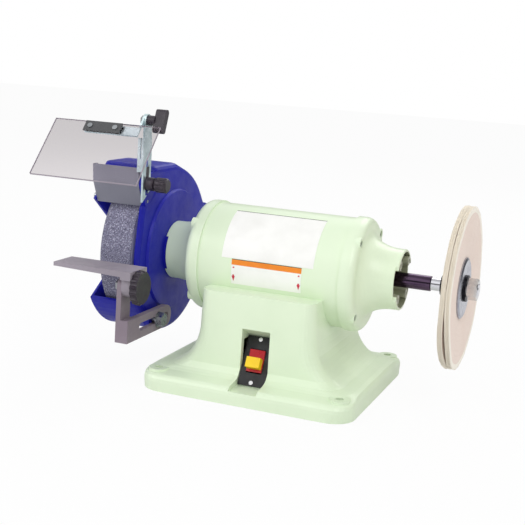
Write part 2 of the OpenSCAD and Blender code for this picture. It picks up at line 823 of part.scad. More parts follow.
// Outline of the guard set in by d, as (y, height above the spindle); e lengthens the spout
function guard_outline(d, e = 0) = concat(
    arc([0, 0], guard_r - d, 179 + open_down, 360 - spout_a, 22),
    arc([spout_cy, -spout_cz], spout_fillet + d, 180 - spout_a, 90, 7),
    [[spout_y + e, d - spout_half], [spout_y + e, spout_half - d]],
    arc([spout_cy, spout_cz], spout_fillet + d, 270, 180 + spout_a, 7),
    arc([0, 0], guard_r - d, spout_a, 90 - crown_a, 8),
    arc([crown_y, visor_top - crown_r], crown_r - d, 90 - crown_a, 90, 4),
    arc([visor_round - visor_y, visor_top - visor_round], visor_round - d, 90, 180, 5),
    arc(nook, nook_r + d, 0, jaw_a - 180, 3),
    arc(jaw_c, visor_round - d, jaw_a, front_a, 3),
    arc([0, 0], guard_front_r - d, front_a, 178.5 + open_down, 8));

// Ring of the guard at distance x from the middle
function guard_ring(x, d, e = 0) = [for (p = guard_outline(d, e)) [-x, p[0], axis_h + p[1]]];

// Block that cuts the guard's forms flat at x0 and x1
module guard_span(x0, x1) translate([-x1, -300, -150]) cube([x1 - x0, 600, 600]);

module inner_guard() {
    color("#1c1f8c") difference() {
        union() {
            difference() {
                intersection() {
                    skin([guard_ring(plate_x - 1, guard_round),
                        for (a = [0, 22.5, 45, 67.5, 90]) guard_ring(plate_x + guard_round * (1 - cos(a)),
                            guard_round * (1 - sin(a))), guard_ring(cover_x + 1, 0)]);
                    guard_span(plate_x, cover_x);
                }
                intersection() {
                    skin([guard_ring(plate_x + guard_wall - 1, guard_wall + 4, 1),
                        for (a = [0, 45, 90]) guard_ring(plate_x + guard_wall + 4 * (1 - cos(a)),
                            guard_wall + 4 * (1 - sin(a)), 1), guard_ring(cover_x + 3, guard_wall, 1)]);
                    guard_span(plate_x + guard_wall, cover_x + 2);
                }
                along_x(-lip_x, -cover_x - 1) polygon([[slip - visor_y, 300], [slip - visor_y, visor_end],
                    [0, 0], polar(300, 180 + open_down), [-300, -300], [-300, 300]]);
            }
            turned([[-hub_x, 0], [-hub_x, hub_r], [-plate_x - 0.8, hub_r + 2.5], [-plate_x - 0.8, 0]]);
            along_x(-plate_x - 0.05, 0.1 - plate_x - guard_wall) hull() {
                translate(arm_pivot) circle(ear_r, $fn = small_fn);
                translate([6 - visor_y, ear_top - 8]) circle(8, $fn = small_fn);
                translate([-visor_y - 18, visor_end - 15]) circle(6, $fn = small_fn);
            }
            for (p = cover_bosses) rod(1 - plate_x - guard_wall, 0.1 - cover_x, cover_boss_r, p);
            rod(-arm_x, 0.6 - plate_x - guard_wall, rest_boss_r, arm_bolt);
            for (i = [-1, 1]) intersection() {
                translate([-hub_x - 1, i * (snout_r - 1) - 6 + lug_slip / 2, axis_h - notch_h / 2 + lug_slip])
                    cube([notch_d + 1 - lug_slip, 12 - lug_slip, notch_h - 2 * lug_slip]);
                rod(-hub_x - 1, -hub_x + notch_d, snout_r, fn = round_fn);
            }
        }
        rod(-hub_inner_x, -plate_x - guard_wall - 1, hub_r - 4, fn = round_fn);
        rod(-hub_x + notch_d + 1, -plate_x - guard_wall - 1, guard_bore, fn = round_fn);
        for (a = stud_angles) rod(-hub_x + 1, -hub_inner_x - 1, guard_screw_r + slip,
            polar(guard_screw_circle, a));
        for (p = cover_bosses) rod(-cover_x + 15, -cover_x - 1, cover_screw_r + run, p);
        rod(-arm_x + 1, -plate_x - guard_wall - 1, arm_bolt_r + run, arm_bolt);
        rod(-plate_x + 1, -plate_x - guard_wall - 1, stud_r + run, arm_pivot);
        rod(-plate_x + 1, -plate_x - guard_wall - 1, deflector_screw_r + run,
            deflector_screw);
    }
}

module guard_mount_screws() {
    color("#a9adb0") for (a = stud_angles) {
        rod(-hub_x + 11, -hub_inner_x, guard_screw_r, polar(guard_screw_circle, a));
        difference() {
            rod(-hub_inner_x, -hub_inner_x - 3, 4.2, polar(guard_screw_circle, a));
            rod(-hub_inner_x - 1, -hub_inner_x - 4, 2.3, polar(guard_screw_circle, a), 6);
        }
    }
}

module outer_guard_cover() {
    color("#1c1f8c") difference() {
        union() {
            along_x(-cover_x, -cover_x - shell_cover_t) difference() {
                polygon(guard_outline(0));
                polygon([[0, 0], polar(300, 180 + open_down), [-300, -300],
                    [-300, 300], polar(300, 180 - open_up)]);
            }
            turned([[-cover_x, 0], [-cover_x, open_inner_r + 2], [-cover_x - shell_cover_t, open_inner_r + 2],
                [-dome_x, dome_r], [-dome_x, 0]]);
        }
        turned([[-cover_x + 1, 0], [-cover_x + 1, open_inner_r - 2], [-cover_x, open_inner_r - 2],
            [-dome_x + shell_cover_t, dome_r - 3], [-dome_x + shell_cover_t, 0]]);
        for (p = cover_bosses) rod(-cover_x + 1, -cover_x - shell_cover_t - 1, cover_screw_r + slip, p);
        rod(-cover_x + 1, -cover_x - shell_cover_t - 1, deflector_screw_r + run,
            deflector_screw);
    }
}

module guard_cover_screws() {
    color("#a9adb0") for (p = cover_bosses) {
        rod(-cover_x + 12, -cover_x - shell_cover_t, cover_screw_r, p);
        difference() {
            rod(-cover_x - shell_cover_t, -cover_x - shell_cover_t - 2.6, 4, p);
            translate([-cover_x - shell_cover_t - 4, p[0] - 5, axis_h + p[1] - 0.6]) cube([2.4, 10, 1.2]);
        }
    }
}

// ---- Wheel ----

// Flange from x0 to x1 with its bearing ring at x1
module flange(x0, x1, r, bore) {
    t = x1 - x0;
    turned([[x0, bore], [x0, r * 0.5], [x0 + t * 0.45, r], [x1, r], [x1, r - 9], [x1 - t * 0.25, r - 11],
        [x1 - t * 0.25, bore + 6], [x1 - t * 0.25, bore]]);
}

module inner_wheel_flange() {
    color("#8d9092") flange(-wheel_flange_x, -wheel_x, wheel_flange_r, arbor_r);
}

module grinding_wheel() {
    color("#9b9894") turned([[-wheel_x, arbor_r], [-wheel_x, wheel_r - 1], [-wheel_x - 1, wheel_r],
        [1 - wheel_end, wheel_r], [-wheel_end, wheel_r - 1], [-wheel_end, arbor_r]]);
}

module outer_wheel_flange() {
    color("#8d9092") flange(-wheel_nut_x, -wheel_end, wheel_flange_r, arbor_r);
}

// Arbor nut between x0 and x1
module arbor_nut(x0, x1) {
    difference() {
        intersection() {
            hexagon(x0, x1, nut_flats);
            turned([[x0, 0], [x0, nut_flats / 2], [x0 + (x1 > x0 ? 1.2 : -1.2), nut_flats / 2 + 2.2],
                [x1 - (x1 > x0 ? 1.2 : -1.2), nut_flats / 2 + 2.2], [x1, nut_flats / 2], [x1, 0]]);
        }
        rod(min(x0, x1) - 1, max(x0, x1) + 1, arbor_r);
    }
}

module wheel_nut() { color("#c9cccd") arbor_nut(-wheel_nut_x, -wheel_nut_x - nut_t); }

// ---- Buff ----

module buff_inner_nut() { color("#4c4d52") arbor_nut(jam_x, buff_flange_x); }

module buff_inner_flange() {
    color("#8d9092") flange(buff_flange_x, buff_x, buff_flange_r, arbor_r);
}

// Cloth section from the mid plane towards the side s
module buff_section(s) {
    rim = buff_gap / 2;
    turned([for (p = [[0, arbor_r], [0, buff_flange_r + 8], [rim, buff_flange_r + 26], [rim, buff_r - 1],
        [rim + 1, buff_r], [rim + buff_t - 1.5, buff_r - 0.5], [rim + buff_t, buff_r - 2.5],
        [rim + buff_t, buff_flange_r + 34], [rim + buff_t * 0.75, buff_flange_r + 20],
        [buff_hub_t, buff_flange_r + 2], [buff_hub_t, arbor_r]]) [buff_mid + s * p[0], p[1]]]);
}

module buff_inner_section() { color("#ecdccb") buff_section(-1); }

module buff_outer_section() { color("#ecdccb") buff_section(1); }

module buff_outer_flange() {
    color("#9b9ea1") turned([[buff_out, arbor_r], [buff_out, 16], [buff_out + 1.2, 20],
        [buff_out + 1.2, buff_flange_r - 10],
        [buff_out, buff_flange_r - 7], [buff_out, buff_flange_r], [buff_out + dish_t - 1.6, buff_flange_r],
        [buff_out + dish_t, buff_flange_r - 3], [buff_out + dish_t, arbor_r]]);
}

module buff_washer() {
    color("#3b3c40") tube(buff_out + dish_t, buff_nut_x, 16.5, arbor_r, fn = round_fn);
}

module buff_nut() { color("#c9cccd") arbor_nut(buff_nut_x, buff_nut_x + nut_t); }

// ---- Spark deflector ----

// Point of the deflector's cheek: p moved d along the slide and n square to it
function cheek(p, d, n) = p + d * deflector_dir + n * [-deflector_dir[1], deflector_dir[0]];

// Slot seen along X
module slot(p, q, r) {
    hull() {
        translate(p) circle(r, $fn = small_fn);
        translate(q) circle(r, $fn = small_fn);
    }
}

module spark_deflector() {
    t = deflector_t;
    color("#787b80") {
        along_x(-deflector_x0, -deflector_x1) polygon([deflector_top, deflector_bend, deflector_foot,
            cheek(deflector_foot, 0, t), deflector_bend + [t, t / 5], deflector_top + [t, 0]]);
        for (x = [deflector_x0, deflector_x1 - t]) along_x(-x, -x - t) difference() {
            polygon([deflector_top, deflector_bend, deflector_foot, cheek(deflector_foot, 0, deflector_lip),
                cheek(deflector_foot, -22, deflector_lip), deflector_bend + [9, 0], deflector_top + [9, 0]]);
            slot(deflector_screw + deflector_down * deflector_dir,
                deflector_screw - deflector_up * deflector_dir, deflector_screw_r + slip);
        }
    }
}

module deflector_screws() {
    t = deflector_t;
    color("#a9adb0") {
        rod(-plate_x, -deflector_x0 - t, deflector_screw_r, deflector_screw);
        rod(-deflector_x0 - t, -deflector_x0 - t - 2.5, 4, deflector_screw);
        rod(-cover_x - shell_cover_t, -deflector_x1 + t, deflector_screw_r, deflector_screw);
        rod(-cover_x - shell_cover_t, -cover_x - shell_cover_t - 2.5, 4, deflector_screw);
        rod(-deflector_x1 + t, -deflector_x1 + t + 3, 4, deflector_screw);
    }
}

// ---- Shield arm ----

arm_spacer_x = -web_x + strip_t;

module arm_stud() {
    color("#8d9092") {
        rod(-plate_x - guard_wall, arm_spacer_x + spacer_len + neck_len + arm_knob_len - 4, stud_r,
            arm_pivot);
    }
}

module arm_guide() {
    color("#1b1b1d") difference() {
        translate([-web_x, arm_pivot[0] - guide_w / 2 + 0.1, axis_h + arm_pivot[1] - 5])
            cube([strip_t, guide_w - 0.2, guide_l]);
        rod(-web_x - 1, -web_x + strip_t + 1, stud_r + run, arm_pivot);
    }
}

module shield_arm() {
    foot = arm_pivot[1] - 5 - guide_travel;
    color("#cfdfe2") {
        along_x(-web_x, -web_x + strip_t) difference() {
            polygon([[web_front, foot - 8], [web_back, foot + 6], [web_back, shield_pivot[1] - 28],
                for (a = [0:20:180]) shield_pivot + polar(pivot_r, a),
                [web_front, shield_pivot[1] - 14]]);
            translate([arm_pivot[0] - guide_w / 2, foot]) square([guide_w, guide_l + 2 * guide_travel]);
            translate(shield_pivot) circle(stud_r + run, $fn = small_fn);
        }
        translate([-web_x - flange_w + strip_t, web_front - strip_t, axis_h + flange_foot]) difference() {
            cube([flange_w, strip_t, shield_pivot[1] - 22 - flange_foot]);
            translate([flange_w - strip_t - flange_slit, -1, 17]) cube([flange_slit, strip_t + 2, 60]);
        }
    }
}

module arm_spacer() {
    color("#26262a") tube(arm_spacer_x, arm_spacer_x + spacer_len, spacer_r, stud_r + run,
        arm_pivot);
}

// Round knob along +X from x0 at p, with n flutes, bore for its stud to depth b
module knob(x0, len, r, n, p, bore, b) {
    difference() {
        translate([x0, p[0], axis_h + p[1]]) rotate([0, 90, 0]) rotate_extrude($fn = 64)
            polygon([[0, 0], [r - 1, 0], [r, 1], [r, len - 2], [r - 2, len], [0, len]]);
        for (i = [0:n - 1]) rod(x0 - 1, x0 + len + 1, r * 0.16, p + polar(r * 1.05, i * 360 / n), 24);
        rod(x0 - 1, x0 + b, bore, p);
    }
}

module arm_knob() {
    x = arm_spacer_x + spacer_len;
    color("#2a2a2d") {
        tube(x, x + neck_len, 6, stud_r + run, arm_pivot);
        knob(x + neck_len, arm_knob_len, arm_knob_r, 10, arm_pivot,
            stud_r + run, arm_knob_len - 4);
    }
}

// ---- Eye shield ----

// Point of the shield: s down its slope from the back edge, n above its top face
function shield_point(s, n) = shield_back
    + s * [-cos(shield_slope), -sin(shield_slope)] + n * [-sin(shield_slope), cos(shield_slope)];

// Slab lying along the shield, from s0 to s1 down the slope and n0 to n1 above its top face
module shield_slab(x0, x1, s0, s1, n0, n1) {
    along_x(x0, x1)
        polygon([shield_point(s0, n0), shield_point(s1, n0), shield_point(s1, n1), shield_point(s0, n1)]);
}

strip_xs = [-shield_strip_x - rivet_inset, -shield_strip_x - strip_len + rivet_inset];

// Rod square to the shield at x, from n0 to n1
module shield_rod(x, s, n0, n1, r) {
    p = shield_point(s, n0);
    translate([x, p[0], axis_h + p[1]]) rotate([shield_slope, 0, 0])
        cylinder(h = n1 - n0, r = r, $fn = small_fn);
}

module eye_shield() {
    color("#d9d6da") difference() {
        shield_slab(-shield_x0 - shield_w, -shield_x0, 0, shield_l, -shield_t, 0);
        for (x = strip_xs) shield_rod(x, strip_w / 2 + 1, -shield_t - 1, 1, 2 + run);
    }
}

module shield_strip() {
    color("#3d3e40") difference() {
        shield_slab(-shield_strip_x - strip_len, -shield_strip_x, 1, strip_w + 1, 0, 2);
        for (x = strip_xs) shield_rod(x, strip_w / 2 + 1, -1, 3, 2 + run);
    }
}

module shield_rivets() {
    color("#9fa3a6") for (x = strip_xs) {
        shield_rod(x, strip_w / 2 + 1, -shield_t - strip_t - 1, 3, 2);
        shield_rod(x, strip_w / 2 + 1, 2, 3.2, 3.4);
        shield_rod(x, strip_w / 2 + 1, -shield_t - strip_t - 1.2, -shield_t - strip_t, 3.4);
    }
}

module shield_bracket() {
    t = strip_t;
    color("#cfdfe2") difference() {
        union() {
            shield_slab(-shield_strip_x - strip_len, -web_x, 2, strip_w, -shield_t - t, -shield_t);
            shield_slab(-web_x - t, -web_x, -ear_back, strip_w, -shield_t - t, -shield_t);
            along_x(-web_x - t, -web_x) hull() {
                translate(shield_pivot) circle(pivot_r, $fn = small_fn);
                polygon([shield_point(-ear_back, -shield_t), shield_point(-ear_gap, -shield_t),
                    shield_point(-ear_gap, -shield_t - t), shield_point(-ear_back, -shield_t - t)]);
            }
        }
        rod(-web_x - t - 1, -web_x + 1, stud_r + run, shield_pivot);
        for (x = strip_xs) shield_rod(x, strip_w / 2 + 1, -shield_t - t - 1, 0, 2 + run);
    }
}

module shield_stud() {
    color("#8d9092") {
        rod(-web_x - strip_t, -web_x + strip_t + wing_hub_len + wing_bite, stud_r,
            shield_pivot);
        hexagon(-web_x - strip_t - 4, -web_x - strip_t, 10, shield_pivot);
    }
}

module wing_knob() {
    x = -web_x + strip_t;
    color("#1d1d1f") difference() {
        union() {
            rod(x, x + wing_hub_len, wing_hub_r, shield_pivot);
            along_x(x + wing_hub_len - 1, x + wing_hub_len + wing_len)
                translate(shield_pivot) rotate(wing_turn) hull()
                    for (i = [-1, 1]) translate([i * (wing_half - wing_t / 2), 0])
                        circle(wing_t / 2, $fn = small_fn);
        }
        rod(x - 1, x + wing_hub_len + wing_bite, stud_r + run, shield_pivot);
    }
}

// ---- Tool rest ----

module rest_bracket() {
    color("#8a827d") difference() {
        union() {
            along_x(-arm_x, -arm_x + arm_t) difference() {
                union() {
                    translate([arm_front, arm_z - arm_h / 2])
                        square([slot_back + arm_end - arm_h / 2 - arm_front, arm_h]);
                    translate([slot_back + arm_end - arm_h / 2, arm_z]) circle(arm_h / 2, $fn = round_fn);
                }
                slot([slot_front + arm_slot_w / 2, arm_z], [slot_back - arm_slot_w / 2, arm_z],
                    arm_slot_w / 2);
            }
            along_x(-arm_x + arm_t, -upright_x - upright_t) translate([arm_front, arm_z - arm_h / 2])
                square([2 * upright_r, arm_h]);
            along_x(-upright_x, -upright_x - upright_t) {
                translate([arm_front, arm_z]) square([2 * upright_r, rest_pivot[1] - arm_z]);
                translate([arm_front + upright_r, rest_pivot[1]]) circle(upright_r, $fn = 64);
            }
        }
        rod(-upright_x + 1, -upright_x - upright_t - 1, rest_stud_r + run, rest_pivot);
    }
}

module rest_arm_bolt() {
    x = -arm_x + arm_t;
    color("#9fa3a6") {
        rod(-plate_x - 3, x, arm_bolt_r, arm_bolt);
        tube(x, x + 1.6, 10.5, arm_bolt_r - 0.01, arm_bolt);
        hexagon(x + 1.5, x + 1.6 + arm_bolt_head, 17, arm_bolt);
    }
}

module tool_rest() {
    color("#7f787b") difference() {
        union() {
            translate([0, rest_front, axis_h + rest_top]) rotate([-90, 0, 0]) linear_extrude(rest_d) polygon([
                [-rest_x0 - rest_l, 0], [-rest_x0, 0], [-rest_x0, rest_thick], [-upright_x, rest_thick],
                [-upright_x, rest_mid], [-rest_x0 - rest_l, rest_thin]]);
            along_x(-lug_x, -lug_x - lug_t) hull() {
                translate(rest_pivot) circle(lug_r, $fn = 64);
                translate([rest_front + 5, rest_top - rest_thin - 1]) square([rest_d - 10, 1]);
            }
        }
        rod(-lug_x + 1, -lug_x - lug_t - 1, rest_stud_r + run, rest_pivot);
    }
}

module rest_stud() {
    color("#9fa3a6") {
        rod(-upright_x - upright_t, -lug_x + rest_washer_t + rest_bite, rest_stud_r,
            rest_pivot);
        hexagon(-upright_x - upright_t - 5, -upright_x - upright_t, 13, rest_pivot);
    }
}

module rest_washer() {
    color("#c9cccd") tube(-lug_x, -lug_x + rest_washer_t, rest_washer_r, rest_stud_r + run,
        rest_pivot);
}

module rest_knob() {
    color("#2b2927") knob(-lug_x + rest_washer_t, rest_knob_len, rest_knob_r, 16,
        rest_pivot, rest_stud_r + run, rest_bite + 0.5);
}

// ---- Parts ----

base_casting();
bottom_cover();
bottom_cover_screws();
motor_bolts();
motor_shell();
stator_core();
stator_windings();
left_end_bell();
right_end_bell();
through_bolts();
bearing_outer_rings();
bearing_inner_rings();
bearing_balls();
spindle();
rotor_core();
rotor_end_rings();
capacitor();
capacitor_clamp();
cord_bushing();
switch_housing();
switch_plate();
switch_screws();
switch_rocker();
safety_key();
rating_plate();
notice_plate();
inner_guard();
guard_mount_screws();
outer_guard_cover();
guard_cover_screws();
inner_wheel_flange();
grinding_wheel();
outer_wheel_flange();
wheel_nut();
buff_inner_nut();
buff_inner_flange();
buff_inner_section();
buff_outer_section();
buff_outer_flange();
buff_washer();
buff_nut();
spark_deflector();
deflector_screws();
arm_stud();
arm_guide();
shield_arm();
arm_spacer();
arm_knob();
shield_stud();
shield_bracket();
eye_shield();
shield_strip();
shield_rivets();
wing_knob();
rest_bracket();
rest_arm_bolt();
tool_rest();
rest_stud();
rest_washer();
rest_knob();
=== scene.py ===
"""Bench grinder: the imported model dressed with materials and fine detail.

Metres, in the model's own frame.
"""
import itertools
import json
import math
import random

import bmesh
import bpy
from mathutils import Matrix, Vector

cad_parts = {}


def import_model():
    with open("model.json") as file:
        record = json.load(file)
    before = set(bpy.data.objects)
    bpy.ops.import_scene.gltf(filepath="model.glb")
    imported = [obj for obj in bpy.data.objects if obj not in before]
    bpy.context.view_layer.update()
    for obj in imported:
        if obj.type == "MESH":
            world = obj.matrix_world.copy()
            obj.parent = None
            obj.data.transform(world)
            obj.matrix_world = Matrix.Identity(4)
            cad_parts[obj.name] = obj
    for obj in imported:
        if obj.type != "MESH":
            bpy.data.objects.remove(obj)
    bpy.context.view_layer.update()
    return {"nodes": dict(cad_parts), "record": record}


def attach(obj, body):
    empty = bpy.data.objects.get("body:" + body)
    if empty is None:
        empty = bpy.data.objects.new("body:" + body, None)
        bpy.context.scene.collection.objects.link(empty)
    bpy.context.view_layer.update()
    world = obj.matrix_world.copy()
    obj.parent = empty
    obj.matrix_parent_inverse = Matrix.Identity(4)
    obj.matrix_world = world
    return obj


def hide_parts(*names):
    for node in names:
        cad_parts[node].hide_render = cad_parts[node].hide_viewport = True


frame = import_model()
NODES = frame["nodes"]
AXIS_Z = 0.156
# Slope of the eye shield, and the radius and floor of the open snout's cup, which bound the cup's
# painted shade
SHIELD_SLOPE = math.radians(48.7)
CUP_R = 0.0358
CUP_X = 0.135
# Where the spindle steps down to its land outside the snout
LAND_X = 0.1943
# Radius at which print lies on the plates, and half the length of each plate
PRINT_R = 0.07142
RATING_HALF = 0.061
NOTICE_HALF = 0.0465
# The castings' colour and its shade, and the height of the ripple in their paint
MINT = "E0EFD3"
MINT_SHADE = "D6E7C9"
PAINT_RIPPLE = 0.00012
random.seed(7)


# ---- Materials ----

def rgb(text):
    """Linear colour of an sRGB hex string."""
    out = []
    for i in (0, 2, 4):
        c = int(text[i:i + 2], 16) / 255
        out.append(c / 12.92 if c <= 0.04045 else ((c + 0.055) / 1.055) ** 2.4)
    return (*out, 1)


class Mat:
    """A node material around one Principled shader."""

    def __init__(self, name, color, rough=0.5, metal=0.0, **sockets):
        self.mat = bpy.data.materials.new(name)
        self.mat.use_nodes = True
        self.tree = self.mat.node_tree
        self.bsdf = self.tree.nodes["Principled BSDF"]
        self.color = rgb(color)
        self.bsdf.inputs["Base Color"].default_value = self.color
        self.bsdf.inputs["Roughness"].default_value = rough
        self.bsdf.inputs["Metallic"].default_value = metal
        for key, value in sockets.items():
            self.bsdf.inputs[key.replace("_", " ")].default_value = value
        self.coord = self.tree.nodes.new("ShaderNodeTexCoord")

    def node(self, kind, **values):
        """New shader node; values set its inputs, or its properties where no input has the name."""
        n = self.tree.nodes.new("ShaderNode" + kind)
        for key, value in values.items():
            if key in n.inputs:
                n.inputs[key].default_value = value
            else:
                setattr(n, key, value)
        return n

    def link(self, a, b):
        self.tree.links.new(a, b)

    def mapped(self, scale):
        m = self.node("Mapping")
        m.inputs["Scale"].default_value = scale
        self.link(self.coord.outputs["Object"], m.inputs["Vector"])
        return m.outputs["Vector"]

    def noise(self, scale, detail=4, rough=0.55, stretch=(1, 1, 1)):
        n = self.node("TexNoise", Scale=scale, Detail=detail, Roughness=rough)
        self.link(self.mapped(stretch), n.inputs["Vector"])
        return n.outputs["Fac"]

    def tint(self, fac, other, low, high):
        """Varies the base colour towards other as fac goes from low to high."""
        source = self.bsdf.inputs["Base Color"]
        mix = self.node("Mix", data_type="RGBA")
        span = self.node("MapRange")
        span.inputs["From Min"].default_value = low
        span.inputs["From Max"].default_value = high
        self.link(fac, span.inputs["Value"])
        self.link(span.outputs["Result"], mix.inputs["Factor"])
        if source.is_linked:
            self.link(source.links[0].from_socket, mix.inputs[6])
        else:
            mix.inputs[6].default_value = self.color
        mix.inputs[7].default_value = rgb(other)
        self.link(mix.outputs[2], source)
        return self

    def paint_side_light(self, other):
        """Paints the faces that look along X the other colour, as painted light on a lit side."""
        geo = self.node("NewGeometry")
        parts = self.node("SeparateXYZ")
        self.link(geo.outputs["True Normal"], parts.inputs[0])
        size = self.node("Math", operation="ABSOLUTE")
        self.link(parts.outputs["X"], size.inputs[0])
        return self.tint(size.outputs[0], other, 0.8, 0.99)

    def roughen(self, fac, low, high):
        """Varies the roughness from low to high with fac."""
        span = self.node("MapRange")
        span.inputs["From Min"].default_value = 0.3
        span.inputs["From Max"].default_value = 0.7
        span.inputs["To Min"].default_value = low
        span.inputs["To Max"].default_value = high
        self.link(fac, span.inputs["Value"])
        self.link(span.outputs["Result"], self.bsdf.inputs["Roughness"])
        return self

    def bump(self, fac, distance, strength):
        """Adds relief on top of what the shader's normal already has."""
        b = self.node("Bump", Strength=strength, Distance=distance)
        self.link(fac, b.inputs["Height"])
        if self.bsdf.inputs["Normal"].is_linked:
            self.link(self.bsdf.inputs["Normal"].links[0].from_socket, b.inputs["Normal"])
        self.link(b.outputs["Normal"], self.bsdf.inputs["Normal"])
        return self


def enamel(name, color, shade, rough, ripple=PAINT_RIPPLE, coat=0.25, gloss=0.5):
    """Sprayed paint with a fine and a wide ripple."""
    m = Mat(name, color, rough, 0.0, Coat_Weight=coat, Coat_Roughness=0.12,
            Specular_IOR_Level=gloss)
    m.tint(m.noise(9, 3), shade, 0.42, 0.85)
    m.roughen(m.noise(60, 3), rough * 0.85, rough * 1.25)
    m.bump(m.noise(260, 2), ripple, 0.5)
    m.bump(m.noise(38, 2), ripple * 2, 0.35)
    return m.mat


def steel(name, color, shade, rough, scratch=0.00003):
    """Bare metal with fine scratches."""
    m = Mat(name, color, rough, 1.0)
    m.tint(m.noise(45, 4), shade, 0.4, 0.75)
    m.roughen(m.noise(180, 3), rough * 0.7, rough * 1.5)
    m.bump(m.noise(700, 2), scratch, 0.6)
    return m.mat


def plastic(name, color, shade, rough, grain=0.00006):
    """Moulded plastic, film or ink."""
    m = Mat(name, color, rough)
    m.tint(m.noise(25, 3), shade, 0.4, 0.8)
    m.roughen(m.noise(90, 3), rough * 0.8, rough * 1.3)
    m.bump(m.noise(900, 2), grain, 0.6)
    return m.mat


def clear(name):
    """Clear sheet whose sawn edges, which don't face along its normal, are grey and dull."""
    m = Mat(name, "FFFAFC", 0.03, 0.0, Transmission_Weight=1.0, IOR=1.12)
    m.roughen(m.noise(12, 4), 0.02, 0.09)
    m.bump(m.noise(30, 2), 0.00002, 0.3)
    facing = m.node("VectorMath", operation="DOT_PRODUCT")
    facing.inputs[1].default_value = (0, -math.sin(SHIELD_SLOPE), math.cos(SHIELD_SLOPE))
    m.link(m.coord.outputs["Normal"], facing.inputs[0])
    size = m.node("Math", operation="ABSOLUTE")
    m.link(facing.outputs["Value"], size.inputs[0])
    m.tint(size.outputs[0], "A49BA6", 0.9, 0.5)
    sawn = m.node("MapRange")
    sawn.inputs["From Min"].default_value = 0.5
    sawn.inputs["From Max"].default_value = 0.9
    sawn.inputs["To Min"].default_value = 0.15
    m.link(size.outputs[0], sawn.inputs["Value"])
    m.link(sawn.outputs["Result"], m.bsdf.inputs["Transmission Weight"])
    return m.mat


def cup_shade_paint(name, color, shade, painted_shade):
    """The enamel, with painted shade darkening the inner wall of the open snout's cup."""
    m = Mat(name, color, 0.42, 0.0, Coat_Weight=0.25, Coat_Roughness=0.12)
    m.tint(m.noise(9, 3), shade, 0.42, 0.85)
    m.bump(m.noise(260, 2), PAINT_RIPPLE, 0.5)
    # Painted shade: inside CUP_R and past CUP_X the colour goes to the darker shade colour.
    parts = m.node("SeparateXYZ")
    m.link(m.coord.outputs["Object"], parts.inputs[0])
    rise = m.node("Math", operation="SUBTRACT")
    rise.inputs[1].default_value = AXIS_Z
    m.link(parts.outputs["Z"], rise.inputs[0])
    flat = m.node("CombineXYZ")
    m.link(parts.outputs["Y"], flat.inputs["Y"])
    m.link(rise.outputs[0], flat.inputs["Z"])
    radius = m.node("VectorMath", operation="LENGTH")
    m.link(flat.outputs[0], radius.inputs[0])
    within = m.node("Math", operation="LESS_THAN")
    within.inputs[1].default_value = CUP_R
    m.link(radius.outputs["Value"], within.inputs[0])
    deep = m.node("Math", operation="GREATER_THAN")
    deep.inputs[1].default_value = CUP_X
    m.link(parts.outputs["X"], deep.inputs[0])
    both = m.node("Math", operation="MULTIPLY")
    m.link(within.outputs[0], both.inputs[0])
    m.link(deep.outputs[0], both.inputs[1])
    return m.tint(both.outputs[0], painted_shade, 0.1, 0.9).mat


def abrasive(name):
    """Grains of two greys, with painted light making the wheel's sides paler."""
    m = Mat(name, "727188", 0.9)
    grain = m.noise(520, 3, 0.75)
    m.tint(grain, "454459", 0.5, 0.62)
    m.tint(m.noise(640, 3, 0.7), "B4B4C6", 0.53, 0.63)
    # Painted light: the wheel's sides, lit from the side, are painted paler.
    m.paint_side_light("DADAE0")
    m.bump(grain, 0.0005, 0.8)
    return m.mat


def cloth(name):
    """Cotton of the buff's faces."""
    m = Mat(name, "EEDCD0", 0.95, 0.0, Sheen_Weight=0.2, Sheen_Roughness=0.5)
    fine = m.noise(1100, 3, 0.6)
    m.tint(fine, "E2CCBE", 0.45, 0.75)
    m.tint(m.noise(22, 3), "E8D3C6", 0.45, 0.8)
    m.bump(fine, 0.0004, 0.7)
    return m.mat


def spindle_metal():
    """Bright-turned steel painted dark purple, a painted reflection of dark surroundings, with the
    ground land outside the step left silver.
    """
    # Painted reflection: the dark purple colour stands for the dark surroundings that the bright
    # steel reflects.
    m = Mat("spindle steel", "5C4A60", 0.14, 1.0)
    turned = (1, 12, 12)
    m.tint(m.noise(45, 4, stretch=turned), "3A2C40", 0.4, 0.75)
    parts = m.node("SeparateXYZ")
    m.link(m.coord.outputs["Object"], parts.inputs[0])
    m.tint(parts.outputs["X"], "DCDCE2", LAND_X, LAND_X + 0.0001)
    m.roughen(m.noise(180, 3, stretch=turned), 0.1, 0.2)
    m.bump(m.noise(700, 2, stretch=turned), 0.00003, 0.6)
    return m.mat


